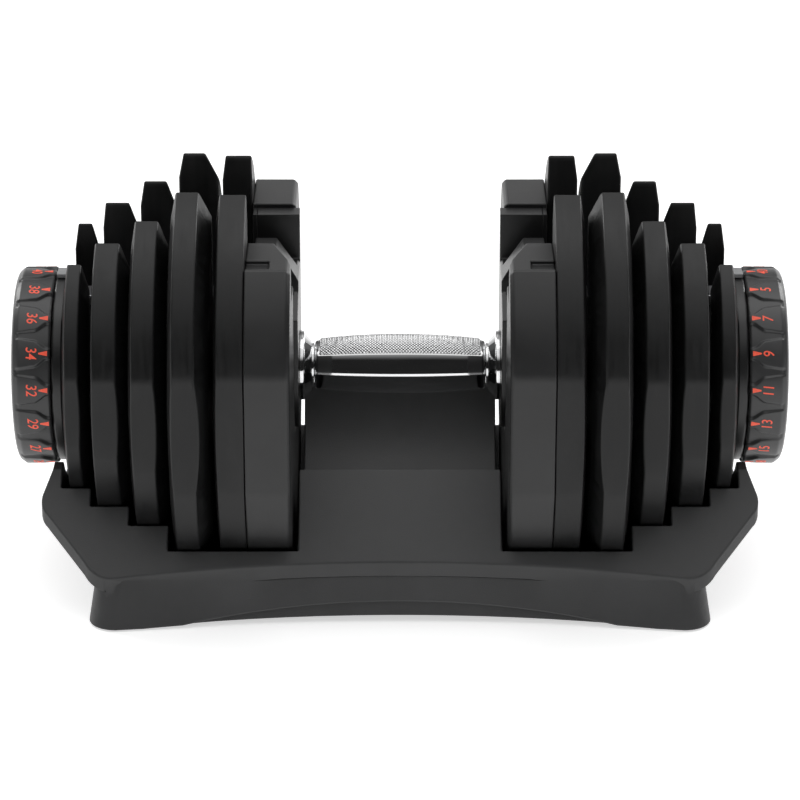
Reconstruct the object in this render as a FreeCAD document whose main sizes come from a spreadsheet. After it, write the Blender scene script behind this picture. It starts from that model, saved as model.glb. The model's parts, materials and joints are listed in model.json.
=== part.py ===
import FreeCAD, Part
import math
import os

import Sketcher

# Adjustable dumbbell standing in its storage tray. Millimetres, +Z up, +X along the handle.
# The origin is on the ground under the middle of the handle.
# Sub-parts of the dumbbell are drawn about the handle axis and lifted by Dims.axis_height.

V = FreeCAD.Vector
doc = FreeCAD.newDocument("AdjustableDumbbell")

# ---------------------------------------------------------------- driving dimensions
DRIVING = (
    ("axis_height", 117.0),      # ground to handle axis
    ("half_length", 222.25),     # middle to the outer face of a dial
    ("slot_half", 36.9),         # half width of the plates' open-top slot
    ("tip_wide", 2.4),           # rounding of the slot's two upper corners
    ("tip_deep", 4.0),
    ("plate_gap", 0.3),          # plate bottom to tray floor
    ("rim_depth", 14.0),         # radial depth of the bevel beside a plate's rim
    # plates, outermost first: inboard face, thickness, radius, flat, inner bevel, outer bevel
    ("pa_face", 177.0), ("pa_thick", 14.6), ("pa_rad", 83.9), ("pa_flat", 81.8),
    ("pa_inner", 4.4), ("pa_outer", 2.4),
    ("pb_face", 153.6), ("pb_thick", 21.1), ("pb_rad", 95.5), ("pb_flat", 93.0),
    ("pb_inner", 5.7), ("pb_outer", 1.8),
    ("pc_face", 131.5), ("pc_thick", 20.9), ("pc_rad", 107.7), ("pc_flat", 104.7),
    ("pc_inner", 5.5), ("pc_outer", 2.5),
    ("pd_face", 106.5), ("pd_thick", 23.0), ("pd_rad", 123.8), ("pd_flat", 119.5),
    ("pd_inner", 7.5), ("pd_outer", 3.0),
    ("pe_face", 86.5), ("pe_thick", 17.5), ("pe_rad", 122.4), ("pe_flat", 118.1),
    ("pe_inner", 0.4), ("pe_outer", 2.1),
    ("base_a", 80.5), ("base_b", 91.5), ("base_c", 103.0), ("base_d", 112.0), ("base_e", 112.0),
    # inner block beside the largest plate
    ("block_face", 61.0), ("block_top", 87.2), ("block_wall", 4.0), ("block_bevel", 2.2),
    ("recess_front", 83.0), ("recess_back", 69.0), ("recess_start", 73.3), ("recess_end", 87.3),
    ("recess_depth", 2.4), ("corner_long", 38.0), ("corner_wide", 10.5), ("corner_depth", 25.0),
    # handle
    ("grip_half", 50.0), ("grip_mid", 18.0), ("grip_end", 14.9), ("shaft_rad", 7.0),
    ("collar_face", 58.6), ("collar_flange", 3.0), ("collar_rad", 20.4),
    ("guard_depth", 25.0), ("guard_rad", 36.3), ("guard_wall", 2.6), ("guard_crown", 76.0),
    ("tower_face", 23.0), ("tower_top", 85.0), ("rib_top", 7.0), ("rib_foot", 11.0), ("rib_level", 58.0),
    ("brow_level", 50.0), ("brow_half", 15.0), ("cheek_level", 40.0),
    ("facet_low", 54.2), ("facet_high", 79.0), ("facet_run", 14.8),
    ("rail_low", 40.0), ("rail_high", 46.0), ("rail_half", 9.0),
    # selector
    ("tube_bore", 7.05), ("tube_rad", 12.0), ("tube_start", 63.0), ("tube_end", 206.4),
    ("key_half", 2.0), ("key_rad", 14.0), ("fit", 0.06),
    ("hub_rad", 16.5), ("flange_in", 29.5), ("flange_out", 33.5),
    ("hook_under", 28.9), ("hook_top", 25.4), ("hook_reach", 8.2), ("hook_half", 4.0),
    ("disc_flange", 5.2), ("disc_web", 9.0), ("disc_end", 11.5), ("hub_start", 3.0),
    # dial and index ring
    ("ring_face", 192.0), ("ring_thick", 7.2), ("ring_rad", 55.5), ("ball_drop", 44.0),
    ("dial_face", 199.7), ("dial_rad", 57.6), ("steps", 17.0), ("dial_web", 7.0),
    ("cap_rad", 17.9), ("cap_thick", 4.6), ("dish", 2.4),
    # lock
    ("wheel_rad", 24.0), ("pin_x", 75.0), ("pin_y", 29.5), ("pin_rad", 3.0), ("pin_low", 30.7),
    # tray
    ("roof_y", 98.8), ("roof_drop", 75.5), ("roof_slope", 0.87), ("crest_y", 60.0),
    ("deck", 9.0), ("tray_half", 205.0), ("well_gap", 1.3), ("well_wall", 3.0), ("well_floor", 3.4),
    ("well_reach", 2.4), ("valley_rad", 63.4), ("valley_z", 21.6), ("valley_wall", 4.0), ("lip_top", 35.2),
    ("well_start", 57.8), ("dial_room_rad", 64.0), ("dial_room_start", 190.0), ("ground", 117.0),
    # the deck's plan, one quarter of it
    ("front_mid", 104.7), ("front_x", 163.0), ("front_y", 112.5), ("bend_x", 172.0),
    ("bend_y", 110.5), ("corner_x", 179.0), ("corner_y", 104.5), ("ear_x", 201.5), ("ear_y", 81.5),
    ("ear_tip_x", 204.6), ("ear_tip_y", 77.0), ("ear_end_x", 204.0), ("ear_end_y", 71.0),
    ("end_x", 199.5), ("end_y", 60.0),
    # the flared skirt: at the hem, and where it meets the deck
    ("hem_level", 116.0), ("hem_mid", 110.0), ("hem_front", 121.0), ("hem_end", 177.0),
    ("waist_level", 40.0), ("waist_mid", 92.7), ("waist_front", 94.9), ("waist_end", 165.0),
    ("skirt_wall", 5.0), ("skirt_bend", 16.0), ("arch_rad", 687.0), ("arch_top", 104.0),
    ("arch_cut", 2.6), ("hem_rad", 3411.0), ("hem_top", 112.9),
    ("foot_x", 158.0), ("foot_y", 101.0), ("foot_rad", 9.0), ("foot_high", 1.2), ("boss_rad", 10.0),
    ("boss_top", 96.0), ("release_half", 4.0), ("release_top", 31.0),
)

dims = doc.addObject("Spreadsheet::Sheet", "Dims")
for row, (alias, number) in enumerate(DRIVING, start=1):
    dims.set(f"A{row}", alias)
    dims.set(f"B{row}", str(number))
    dims.setAlias(f"B{row}", alias)
doc.recompute()

D = dict(DRIVING)
SIDES = (("left", -1), ("right", 1))
PLATES = ("a", "b", "c", "d", "e")
PLATE_UNITS = {"a": 1, "b": 2, "c": 3, "d": 4, "e": 6}
nodes = []


# ---------------------------------------------------------------- helpers
def worth(expression):
    """The number that an expression of the sheet's cells comes to."""
    return float(dims.evalExpression(str(expression)))


def bind(thing, **expressions):
    for name, expression in expressions.items():
        thing.setExpression(name.replace("__", "."), str(expression))
    return thing


def node(thing, label):
    """Names a finished sub-part, which is written to its own file."""
    thing.Label = label
    nodes.append(thing)
    return thing


def lift(thing, x="0"):
    """Puts a sub-part drawn about the handle axis at its place along the handle."""
    return bind(thing, Placement__Base__x=x, Placement__Base__z="Dims.axis_height")


def body(label):
    return node(doc.addObject("PartDesign::Body", label), label)


def draw(sketch, outlines):
    """Draws closed outlines. A corner is (x, y), or (x, y, via_x, via_y) where an arc leaves it."""
    for corners in outlines:
        points = [V(worth(c[0]), worth(c[1]), 0) for c in corners]
        first = sketch.GeometryCount
        ends = []
        for i, corner in enumerate(corners):
            here, there = points[i], points[(i + 1) % len(points)]
            if len(corner) == 4:
                edge = Part.Arc(here, V(worth(corner[2]), worth(corner[3]), 0), there)
            else:
                edge = Part.LineSegment(here, there)
            index = sketch.addGeometry(edge, False)
            starts_here = sketch.getPoint(index, 1).distanceToPoint(here) < 1e-6
            ends.append((index, 1, 2) if starts_here else (index, 2, 1))
        for i, (index, start, end) in enumerate(ends):
            after = ends[(i + 1) % len(ends)]
            sketch.addConstraint(Sketcher.Constraint("Coincident", index, end, after[0], after[1]))
            for kind, place, text in (
                ("DistanceX", points[i].x, corners[i][0]),
                ("DistanceY", points[i].y, corners[i][1]),
            ):
                added = sketch.addConstraint(Sketcher.Constraint(kind, -1, 1, index, start, place))
                sketch.setExpression(f"Constraints[{added}]", str(text))
    return sketch


def sketch_on(owner, role, name, *outlines, offset=None):
    """A sketch on one of a body's origin planes."""
    plane = [f for f in owner.Origin.OriginFeatures if f.Role == role][0]
    sketch = owner.newObject("Sketcher::SketchObject", name)
    sketch.AttachmentSupport = [(plane, "")]
    sketch.MapMode = "FlatFace"
    if offset:
        bind(sketch, AttachmentOffset__Base__z=offset)
    return draw(sketch, outlines)


def revolve(owner, name, corners):
    """A solid turned about the X axis from an outline of (x, radius) corners."""
    turned = owner.newObject("PartDesign::Revolution", name)
    turned.Profile = sketch_on(owner, "XZ_Plane", name + "_outline", corners)
    turned.ReferenceAxis = (turned.Profile[0], ["H_Axis"])
    turned.Angle = 360
    return turned


def pad(owner, name, role, length, *outlines, symmetric=False, reverse=False):
    made = owner.newObject("PartDesign::Pad", name)
    made.Profile = sketch_on(owner, role, name + "_outline", *outlines)
    made.SideType = "Symmetric" if symmetric else "One side"
    made.Reversed = reverse
    return bind(made, Length=length)


def cut_through(owner, name, role, *outlines):
    """A pocket that goes right through the body both ways; it must remove something."""
    doc.recompute()
    before = owner.Shape.Volume
    made = owner.newObject("PartDesign::Pocket", name)
    made.Profile = sketch_on(owner, role, name + "_outline", *outlines)
    made.SideType = "Symmetric"
    made.Type = "ThroughAll"
    doc.recompute()
    if owner.Shape.Volume > before - 1.0:
        raise RuntimeError(f"{owner.Label}: {name} cuts nothing")
    return made


def cut_part_way(owner, name, role, start, depth, *outlines, reverse=False):
    """A pocket from a plane at `start` along its normal, `depth` deep."""
    doc.recompute()
    before = owner.Shape.Volume
    made = owner.newObject("PartDesign::Pocket", name)
    made.Profile = sketch_on(owner, role, name + "_outline", *outlines, offset=start)
    made.Reversed = reverse
    bind(made, Length=depth)
    doc.recompute()
    if owner.Shape.Volume > before - 0.5:
        raise RuntimeError(f"{owner.Label}: {name} cuts nothing")
    return made


def block(name, x0, x1, y0, y1, z0, z1):
    """A box between two corners given as expressions."""
    return bind(
        doc.addObject("Part::Box", name),
        Length=f"({x1}) - ({x0})", Width=f"({y1}) - ({y0})", Height=f"({z1}) - ({z0})",
        Placement__Base__x=x0, Placement__Base__y=y0, Placement__Base__z=z0,
    )


ALONG_X = FreeCAD.Rotation(V(0, 1, 0), 90)
ALONG_Y = FreeCAD.Rotation(V(1, 0, 0), -90)


def rod(name, radius, x0, x1, y="0", z="0", turn=ALONG_X):
    """A cylinder along X from x0 to x1, x0 the smaller."""
    made = doc.addObject("Part::Cylinder", name)
    made.Placement = FreeCAD.Placement(V(0, 0, 0), turn)
    return bind(
        made, Radius=radius, Height=f"({x1}) - ({x0})",
        Placement__Base__x=x0, Placement__Base__y=y, Placement__Base__z=z,
    )


def post(name, radius, z0, z1, x="0", y="0"):
    """A cylinder along Z."""
    return bind(
        doc.addObject("Part::Cylinder", name), Radius=radius, Height=f"({z1}) - ({z0})",
        Placement__Base__x=x, Placement__Base__y=y, Placement__Base__z=z0,
    )


def prism(name, role, start, end, *outlines):
    """Outlines in the plane of the role, drawn out along its normal from start to end."""
    turns = {
        "XY": FreeCAD.Rotation(),
        "YZ": FreeCAD.Rotation(V(0, 1, 0), V(0, 0, 1), V(1, 0, 0), "XYZ"),
        "XZ": FreeCAD.Rotation(V(1, 0, 0), V(0, 0, 1), V(0, -1, 0), "XYZ"),
    }
    normals = {"XY": V(0, 0, 1), "YZ": V(1, 0, 0), "XZ": V(0, -1, 0)}
    outline = draw(doc.addObject("Sketcher::SketchObject", name + "_outline"), outlines)
    outline.Placement = FreeCAD.Placement(V(0, 0, 0), turns[role])
    made = doc.addObject("Part::Extrusion", name)
    made.Base = outline
    made.DirMode = "Custom"
    made.Dir = normals[role]
    made.Solid = True
    return bind(made, LengthFwd=end, LengthRev=f"-({start})")


def fuse(name, *things):
    made = doc.addObject("Part::MultiFuse", name)
    made.Shapes = list(things)
    made.Refine = True
    return made


def common(name, first, second):
    made = doc.addObject("Part::Common", name)
    made.Base = first
    made.Tool = second
    return made


def cut(name, first, second):
    made = doc.addObject("Part::Cut", name)
    made.Base = first
    made.Tool = second
    made.Refine = True
    return made


def span(side, near, far):
    """The two ends along X of a stretch from near to far from the middle, smaller first."""
    return (f"-({far})", f"-({near})") if side < 0 else (near, far)


def mirrored(side, corners):
    """An outline with its first coordinate turned to the side."""
    flip = "-1 * " if side < 0 else ""
    done = []
    for corner in corners:
        turned = [f"{flip}({corner[0]})", corner[1]]
        if len(corner) == 4:
            turned += [f"{flip}({corner[2]})", corner[3]]
        done.append(tuple(turned))
    return done


def circle(radius, x="0", y="0"):
    """A circle as two arcs."""
    return [
        (f"{x} - ({radius})", y, x, f"{y} - ({radius})"),
        (f"{x} + ({radius})", y, x, f"{y} + ({radius})"),
    ]


def four_quarters(quarter, middle):
    """An outline from one quarter of it. Each corner is (x, y, via), with via where an arc leaves it.

    The quarters are joined in front and behind by arcs through (0, -middle) and (0, middle).
    """
    outline = []
    last = len(quarter) - 1
    for turn_x, turn_y in (("", "-"), ("", ""), ("-", ""), ("-", "-")):
        outward = turn_x != turn_y
        order = range(len(quarter)) if outward else range(last, -1, -1)
        for i in order:
            x, y, _ = quarter[i]
            corner = [f"{turn_x}({x})", f"{turn_y}({y})"]
            joins_middle = i == 0 and not outward
            via = ("0", middle) if joins_middle else quarter[i if outward else i - 1][2]
            if via:
                corner += [f"{turn_x}({via[0]})", f"{turn_y}({via[1]})"]
            outline.append(tuple(corner))
    return outline


# ---------------------------------------------------------------- weight plates
def plate_outline(radius, flat, base, slot, top):
    """A plate's outline in the YZ plane: round, flat in front, behind and below, slotted above."""
    side_z = f"sqrt(({radius})^2 - ({flat})^2)"
    foot_y = f"sqrt(({radius})^2 - ({base})^2)"
    top_y = f"sqrt(({radius})^2 - ({top})^2)"
    corner = f"({radius}) * 0.70710678"
    return [
        (f"-({slot})", top), (f"-({top_y})", top, f"-({radius}) * 0.93", f"({radius}) * 0.36756"),
        (f"-({flat})", side_z), (f"-({flat})", f"-({side_z})", f"-({corner})", f"-({corner})"),
        (f"-({foot_y})", f"-({base})"),
        (foot_y, f"-({base})", corner, f"-({corner})"), (flat, f"-({side_z})"),
        (flat, side_z, f"({radius}) * 0.93", f"({radius}) * 0.36756"), (top_y, top),
        (slot, top), (slot, "0", "0", f"-({slot})"), (f"-({slot})", "0"),
    ]


def weight_plate(side_name, side, key):
    """A cast plate: bevelled disc, three flats, open-top slot and the hook it is lifted by."""
    radius, thick = f"Dims.p{key}_rad", f"Dims.p{key}_thick"
    flat, base = f"Dims.p{key}_flat", f"Dims.base_{key}"
    shoulder = f"{radius} - Dims.rim_depth"
    plate = body(f"plate_{key}_{side_name}")
    revolve(plate, "disc", mirrored(side, [
        ("0", "0"), (thick, "0"), (thick, shoulder), (f"{thick} - Dims.p{key}_outer", radius),
        (f"Dims.p{key}_inner", radius), ("0", shoulder),
    ]))
    reach = f"{radius} + 6"
    slot = "Dims.slot_half"
    tip = f"sqrt({radius}^2 - {slot}^2)"
    wide, easing = f"({slot} + Dims.tip_wide)", f"{tip} - Dims.tip_deep * 0.3"
    cut_through(plate, "flats_and_slot", "YZ_Plane", [
        (f"-({reach})", reach), (f"-({reach})", f"-({reach})"), (reach, f"-({reach})"), (reach, reach),
        (flat, reach), (flat, f"-{base}"), (f"-{flat}", f"-{base}"), (f"-{flat}", reach),
    ], [
        (f"-{wide}", reach), (f"-{wide}", tip, f"-{slot} - Dims.tip_wide * 0.25", easing),
        (f"-{slot}", f"{tip} - Dims.tip_deep"), (f"-{slot}", "0", "0", f"-{slot}"), (slot, "0"),
        (slot, f"{tip} - Dims.tip_deep", f"{slot} + Dims.tip_wide * 0.25", easing), (wide, tip),
        (wide, reach),
    ])
    pad(plate, "hook", "XZ_Plane", "2 * Dims.hook_half", mirrored(side, [
        ("1", f"-{slot} - 0.6"), ("3.5", f"-{slot} - 0.6"), ("3.5", "-Dims.hook_under"),
        ("Dims.hook_reach", "-Dims.hook_under"), ("Dims.hook_reach", "-Dims.hook_top"),
        ("1", "-Dims.hook_top"),
    ]), symmetric=True)
    return lift(plate, f"{side} * Dims.p{key}_face")


def inner_block(side_name, side):
    """The moulded block fixed to the largest plate's inboard face, hollow from the plate side."""
    wall = "Dims.block_wall"
    shell = body(f"plate_block_{side_name}")
    slot, top, base = "Dims.slot_half", "Dims.block_top", "Dims.base_e"
    outer = plate_outline("Dims.pe_rad", "Dims.pe_flat", base, slot, top)
    inner = plate_outline(
        f"Dims.pe_rad - {wall}", f"Dims.pe_flat - {wall}", f"{base} - {wall}",
        f"{slot} + {wall}", f"{top} - Dims.corner_depth - {wall}",
    )
    solid = pad(shell, "block", "YZ_Plane", "Dims.pe_face - Dims.block_face", outer,
                reverse=side < 0)
    doc.recompute()
    faces = shell.Shape.Faces
    inboard = min(range(len(faces)), key=lambda i: abs(faces[i].CenterOfMass.x))
    bevel = shell.newObject("PartDesign::Chamfer", "bevel")
    bevel.Base = (solid, [f"Face{inboard + 1}"])
    bind(bevel, Size="Dims.block_bevel")
    depth = f"Dims.pe_face - Dims.block_face - {wall}"
    start = f"{side} * (Dims.pe_face - Dims.block_face)"
    cut_part_way(shell, "hollow", "YZ_Plane", start, depth, inner, reverse=side < 0)
    # the way for the release post, through the slot's wall and the base
    post_x = "Dims.pin_x - Dims.block_face"
    cut_part_way(shell, "post_way", "XY_Plane", "0", f"{base} + 1", mirrored(side, [
        (f"{post_x} - 6", "Dims.pin_y - 6"), (f"{post_x} + 6", "Dims.pin_y - 6"),
        (f"{post_x} + 6", "Dims.pin_y + 6"), (f"{post_x} - 6", "Dims.pin_y + 6"),
    ]))
    # the cut-away corner beside the guard, and the finger recess in the front top
    cut_part_way(shell, "corner", "XY_Plane", f"{top} + 1", "Dims.corner_depth + 1", mirrored(side, [
        ("-1", f"-{slot} - Dims.corner_long"), ("Dims.corner_wide", f"-{slot}"),
        ("Dims.corner_wide", f"-{slot} + 2"), ("-1", f"-{slot} + 2"),
    ]))
    recess_in, recess_out = "Dims.recess_start - Dims.block_face", "Dims.recess_end - Dims.block_face"
    cut_part_way(shell, "recess", "XY_Plane", f"{top} + 1", "Dims.recess_depth + 1", mirrored(side, [
        (recess_in, "-Dims.recess_front"), (recess_out, "-Dims.recess_front"),
        (recess_out, "-Dims.recess_back"), (recess_in, "-Dims.recess_back"),
    ]))
    return lift(shell, f"{side} * Dims.block_face")


# ---------------------------------------------------------------- handle
def grip():
    """The chrome barrel grip with its long panels, bored for the shaft."""
    barrel = body("grip")
    half, end, mid = "Dims.grip_half", "Dims.grip_end", "Dims.grip_mid"
    revolve(barrel, "barrel", [
        (f"-{half}", "Dims.shaft_rad"), (half, "Dims.shaft_rad"), (half, f"{end} - 1.2"),
        (f"{half} - 1.2", end, "0", mid), (f"1.2 - {half}", end), (f"-{half}", f"{end} - 1.2"),
    ])
    return lift(barrel)


def shaft():
    """The steel shaft through the grip that carries both ends."""
    end = "Dims.dial_face + 13.3"
    return node(rod("shaft", "Dims.shaft_rad", f"-({end})", end, z="Dims.axis_height"), "shaft")


def collar(side_name, side):
    """The chrome collar between the grip and the guard: a cone behind a flange."""
    ring = body(f"grip_collar_{side_name}")
    depth, rad = "(Dims.collar_face - Dims.grip_half)", "Dims.collar_rad"
    revolve(ring, "ring", mirrored(side, [
        ("0.15", "Dims.shaft_rad"), (depth, "Dims.shaft_rad"), (depth, rad),
        (f"{depth} - Dims.collar_flange + 0.5", rad), (f"{depth} - Dims.collar_flange", f"{rad} - 0.5"),
        (f"{depth} - Dims.collar_flange", f"{rad} - 1.2"), ("1.4", "Dims.grip_end - 0.2"),
        ("1.4", "Dims.grip_end - 1.6"), ("0.15", "Dims.grip_end - 1.6"),
    ]))
    return lift(ring, f"{side} * Dims.grip_half")


def guard_outline(inset):
    """The housing's outline in the YZ plane: round below, a rib in the middle, a tower behind."""
    rad, tower = f"(Dims.guard_rad - {inset})", f"(Dims.tower_face + {inset})"
    return [
        (f"-{rad}", "0", "0", f"-{rad}"), (rad, "0"), (rad, f"Dims.tower_top - {inset}"),
        (tower, f"Dims.tower_top - {inset}"), (tower, f"Dims.rib_level - {inset}"),
        (f"Dims.rib_foot - {inset}", f"Dims.rib_level - {inset}"),
        (f"Dims.rib_top - {inset} / 2", f"Dims.guard_crown - {inset}"),
        (f"{inset} / 2 - Dims.rib_top", f"Dims.guard_crown - {inset}"),
        (f"{inset} - Dims.rib_foot", f"Dims.rib_level - {inset}"),
        (f"{inset} - Dims.brow_half", f"Dims.brow_level - {inset}"),
        (f"-{rad}", f"Dims.cheek_level - {inset}"),
    ]


def guard(side_name, side):
    """The handle's end housing, open outboard, with the sloped facet on its rib."""
    wall = "Dims.guard_wall"
    shell = body(f"guard_{side_name}")
    pad(shell, "housing", "YZ_Plane", "Dims.guard_depth", guard_outline("0"), reverse=side < 0)
    start = f"{side} * Dims.guard_depth"
    inner = guard_outline(wall)
    cut_part_way(shell, "hollow", "YZ_Plane", start, "Dims.guard_depth - 3", [
        inner[0], inner[1], inner[2], inner[3], (inner[3][0], "52"), ("-13", "52"),
        (inner[10][0], "37"),
    ], reverse=side < 0)
    before_rib = "Dims.guard_rad + 0.7"
    cut_part_way(shell, "facet", "XZ_Plane", before_rib, f"{before_rib} + Dims.tower_face - 0.5",
                 mirrored(side, [
                     ("-1", "Dims.facet_low"), ("-1", "Dims.facet_high"),
                     ("Dims.facet_run", "Dims.facet_high"),
                 ]))
    # the shaft's seat and the lock pin's way out below
    cut_through(shell, "shaft_seat", "YZ_Plane", circle("Dims.shaft_rad"))
    pin_x = "Dims.pin_x - Dims.collar_face"
    cut_part_way(shell, "pin_way", "XY_Plane", "0", "40", circle(
        "Dims.pin_rad + 0.4", f"{side} * ({pin_x})", "Dims.pin_y",
    ))
    return lift(shell, f"{side} * Dims.collar_face")


def guard_cover(side_name, side):
    """The plate that closes the housing outboard; the selector tube turns in its bore."""
    cover = body(f"guard_cover_{side_name}")
    inner = guard_outline("0")
    pad(cover, "cover", "YZ_Plane", "2.4", [
        inner[0], inner[1], inner[2], inner[3], (inner[3][0], "Dims.rib_level"),
        ("-Dims.brow_half", "Dims.rib_level"), inner[10],
    ], reverse=side < 0)
    cut_through(cover, "tube_way", "YZ_Plane", circle("Dims.tube_rad + Dims.fit"))
    return lift(cover, f"{side} * (Dims.collar_face + Dims.guard_depth)")


def top_rail(side_name, side):
    """The bar over the selector that joins the housing to the index ring."""
    near = "Dims.collar_face + Dims.guard_depth + 2.4"
    x0, x1 = span(side, near, "Dims.ring_face")
    return node(block(
        f"rail_{side_name}", x0, x1, "-Dims.rail_half", "Dims.rail_half",
        "Dims.axis_height + Dims.rail_low", "Dims.axis_height + Dims.rail_high",
    ), f"top_rail_{side_name}")


# ---------------------------------------------------------------- selector
def keyed_tube(side_name, side):
    """The tube that turns on the shaft and carries the selector, with a key each side."""
    x0, x1 = span(side, "Dims.tube_start", "Dims.tube_end")
    k0, k1 = span(side, "Dims.guard_depth + Dims.collar_face + 3", "Dims.ring_face - 2")
    outer = fuse(
        f"tube_solid_{side_name}",
        rod(f"tube_round_{side_name}", "Dims.tube_rad", x0, x1),
        block(f"tube_key_{side_name}", k0, k1, "-Dims.key_rad", "Dims.key_rad",
              "-Dims.key_half", "Dims.key_half"),
    )
    bore = rod(f"tube_bore_{side_name}", "Dims.tube_bore", f"{x0} - 1", f"{x1} + 1")
    return lift(node(cut(f"tube_{side_name}", outer, bore), f"selector_tube_{side_name}"))


def chosen(setting):
    """The plates that a dial setting picks up: 0 is the bare handle, 16 is all of them."""
    left = setting
    picked = []
    for key in sorted(PLATE_UNITS, key=PLATE_UNITS.get, reverse=True):
        if PLATE_UNITS[key] <= left:
            picked.append(key)
            left -= PLATE_UNITS[key]
    return picked


def flange_runs(key):
    """Stretches of settings, as (first step, number of steps), where a plate is picked up."""
    steps = int(D["steps"])
    wanted = [key in chosen(steps - 1 - step) for step in range(steps)]
    runs = []
    for step in range(steps):
        if wanted[step] and not wanted[step - 1]:
            length = 1
            while wanted[(step + length) % steps] and length < steps:
                length += 1
            runs.append((step, length))
    return runs


def selector_disc(side_name, side, key, hub_end):
    """A disc whose broken rim passes under one plate's hook."""
    name = f"{key}_{side_name}"
    face = f"Dims.p{key}_face"
    x0, x1 = span(side, f"{face} + Dims.hub_start" if key != "e" else f"{face} - 0.2", hub_end)
    w0, w1 = span(side, f"{face} + Dims.disc_web", f"{face} + Dims.disc_end")
    f0, f1 = span(side, f"{face} + Dims.disc_flange", f"{face} + Dims.disc_end")
    parts = [rod(f"hub_{name}", "Dims.hub_rad", x0, x1), rod(f"web_{name}", "Dims.flange_out", w0, w1)]
    for number, (first, length) in enumerate(flange_runs(key)):
        sector = rod(f"rim_{name}_{number}", "Dims.flange_out", f0, f1)
        core = rod(f"rim_core_{name}_{number}", "Dims.flange_in", f"{f0} - 1", f"{f1} + 1")
        bind(sector, Angle=f"{length} * 360 / Dims.steps")
        # a sector starts at the bottom and opens backwards; the right dial counts the other way
        begin = first - 0.5 if side < 0 else 0.5 - first - length
        start = begin * 360.0 / D["steps"]
        sector.Placement.Rotation = FreeCAD.Rotation(V(1, 0, 0), start).multiply(ALONG_X)
        parts.append(cut(f"rim_cut_{name}_{number}", sector, core))
    solid = fuse(f"disc_solid_{name}", *parts)
    bore = fuse(
        f"disc_bore_{name}",
        rod(f"disc_round_{name}", "Dims.tube_rad + Dims.fit", f"{x0} - 1", f"{x1} + 1"),
        block(f"disc_keyway_{name}", f"{x0} - 1", f"{x1} + 1", "-Dims.key_rad - Dims.fit",
              "Dims.key_rad + Dims.fit", "-Dims.key_half - Dims.fit", "Dims.key_half + Dims.fit"),
    )
    return lift(node(cut(f"disc_{name}", solid, bore), f"selector_disc_{name}"))


def lock_wheel(side_name, side):
    """The notched wheel that the lock pin holds while the dumbbell is out of its tray."""
    wheel = body(f"lock_wheel_{side_name}")
    revolve(wheel, "disc", [
        ("-1.5", "Dims.tube_rad"), ("1.5", "Dims.tube_rad"), ("1.5", "Dims.wheel_rad"),
        ("-1.5", "Dims.wheel_rad"),
    ])
    doc.recompute()
    notch = wheel.newObject("PartDesign::Pocket", "notch")
    notch.Profile = sketch_on(wheel, "YZ_Plane", "notch_outline", [
        ("-2", "Dims.wheel_rad - 3"), ("2", "Dims.wheel_rad - 3"), ("2.6", "Dims.wheel_rad + 2"),
        ("-2.6", "Dims.wheel_rad + 2"),
    ])
    notch.SideType = "Symmetric"
    notch.Type = "ThroughAll"
    doc.recompute()
    turns = wheel.newObject("PartDesign::PolarPattern", "notches")
    turns.Originals = [notch]
    turns.Axis = ([f for f in wheel.Origin.OriginFeatures if f.Role == "X_Axis"][0], [""])
    turns.Angle = 360
    turns.Occurrences = int(D["steps"])
    wheel.Tip = turns
    return lift(wheel, f"{side} * Dims.pin_x")


def lock_pin(side_name, side):
    """The sprung pin: a rod that the tray's post lifts, with an arm and a tooth over the wheel."""
    x, y = f"{side} * Dims.pin_x", "Dims.pin_y"
    ends = span(side, "Dims.pin_x - 3", "Dims.pin_x + 3")
    tooth = span(side, "Dims.pin_x - 1.2", "Dims.pin_x + 1.2")
    made = fuse(
        f"pin_{side_name}",
        post(f"pin_rod_{side_name}", "Dims.pin_rad", "-Dims.pin_low", "40", x, y),
        post(f"pin_stem_{side_name}", "Dims.pin_rad - 0.8", "39", "62", x, y),
        block(f"pin_arm_{side_name}", *ends, "-3", f"{y} + 3", "34", "40"),
        block(f"pin_tooth_{side_name}", *tooth, "-1.6", "1.6", "Dims.wheel_rad + 0.8", "35"),
    )
    return lift(node(made, f"lock_pin_{side_name}"))


def coil(name, radius, wire, pitch, height, spot, turn=None):
    """A round-wire compression spring standing on a spot."""
    helix = doc.addObject("Part::Helix", name + "_path")
    helix.Radius = radius
    helix.Pitch = pitch
    helix.Height = height
    ring = doc.addObject("Part::Circle", name + "_wire")
    ring.Radius = wire
    ring.Placement = FreeCAD.Placement(V(radius, 0, 0), FreeCAD.Rotation(V(1, 0, 0), 90))
    made = doc.addObject("Part::Sweep", name)
    made.Sections = [ring]
    made.Spine = (helix, [])
    made.Solid = True
    made.Frenet = True
    made.Placement = FreeCAD.Placement(spot, turn or FreeCAD.Rotation())
    return made


# ---------------------------------------------------------------- index ring and dial
def index_ring(side_name, side):
    """The fixed ring that the dial is read against, with a seat for the detent ball."""
    ring = body(f"index_ring_{side_name}")
    thick = "Dims.ring_thick"
    revolve(ring, "ring", mirrored(side, [
        ("0", "Dims.tube_rad + Dims.fit"), (thick, "Dims.tube_rad + Dims.fit"),
        (thick, "Dims.ring_rad - 1"), (f"{thick} - 1", "Dims.ring_rad"), ("1.5", "Dims.ring_rad"),
        ("0", "Dims.ring_rad - 4"),
    ]))
    cut_part_way(ring, "ball_seat", "YZ_Plane", f"{side} * {thick}", "6",
                 circle("2.1", "0", "-Dims.ball_drop"), reverse=side < 0)
    return lift(ring, f"{side} * Dims.ring_face")


def pointer(side_name, side):
    """The small grey mark on top of the index ring."""
    x0, x1 = span(side, "Dims.ring_face + 0.4", "Dims.ring_face + 6.6")
    top = "Dims.axis_height + Dims.ring_rad"
    return node(block(f"mark_{side_name}", x0, x1, "-6", "6", top, f"{top} + 2.6"),
                f"index_pointer_{side_name}")


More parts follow.
